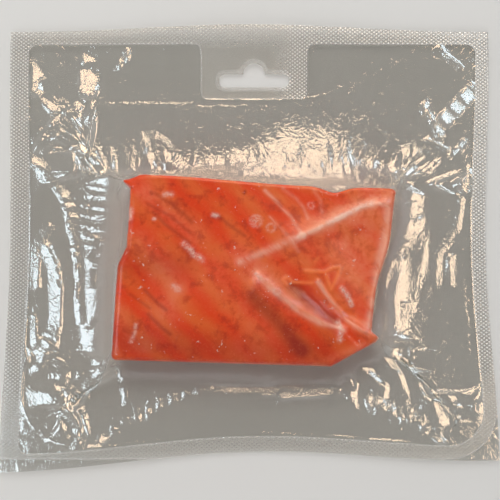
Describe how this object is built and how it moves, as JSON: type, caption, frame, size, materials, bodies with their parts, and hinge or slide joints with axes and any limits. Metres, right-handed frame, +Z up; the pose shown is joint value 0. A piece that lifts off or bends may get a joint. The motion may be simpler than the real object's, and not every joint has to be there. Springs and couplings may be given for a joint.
{
  "type": "vacuum pack of frozen salmon fillet",
  "caption": "Clear vacuum pack lying flat, its film drawn tight in pleats round a block of frozen salmon fillet, with a sealed rim, a hang slot at the top and a loose peel corner.",
  "frame": {"origin": "under the middle of the pack's outline, on the surface it lies on", "axes": "+X to the right across the pack, +Y towards the hang slot, +Z up through the shown side"},
  "size_m": [0.1992, 0.1826, 0.0207],
  "materials": {
    "film": "clear glossy packing film, with a pressed seal round its edge",
    "salmon": "red-orange salmon flesh with pale pink bands, frosted under clinging film"
  },
  "bodies": {
    "root": {"sealed_pack": "film"}
  },
  "joints": []
}
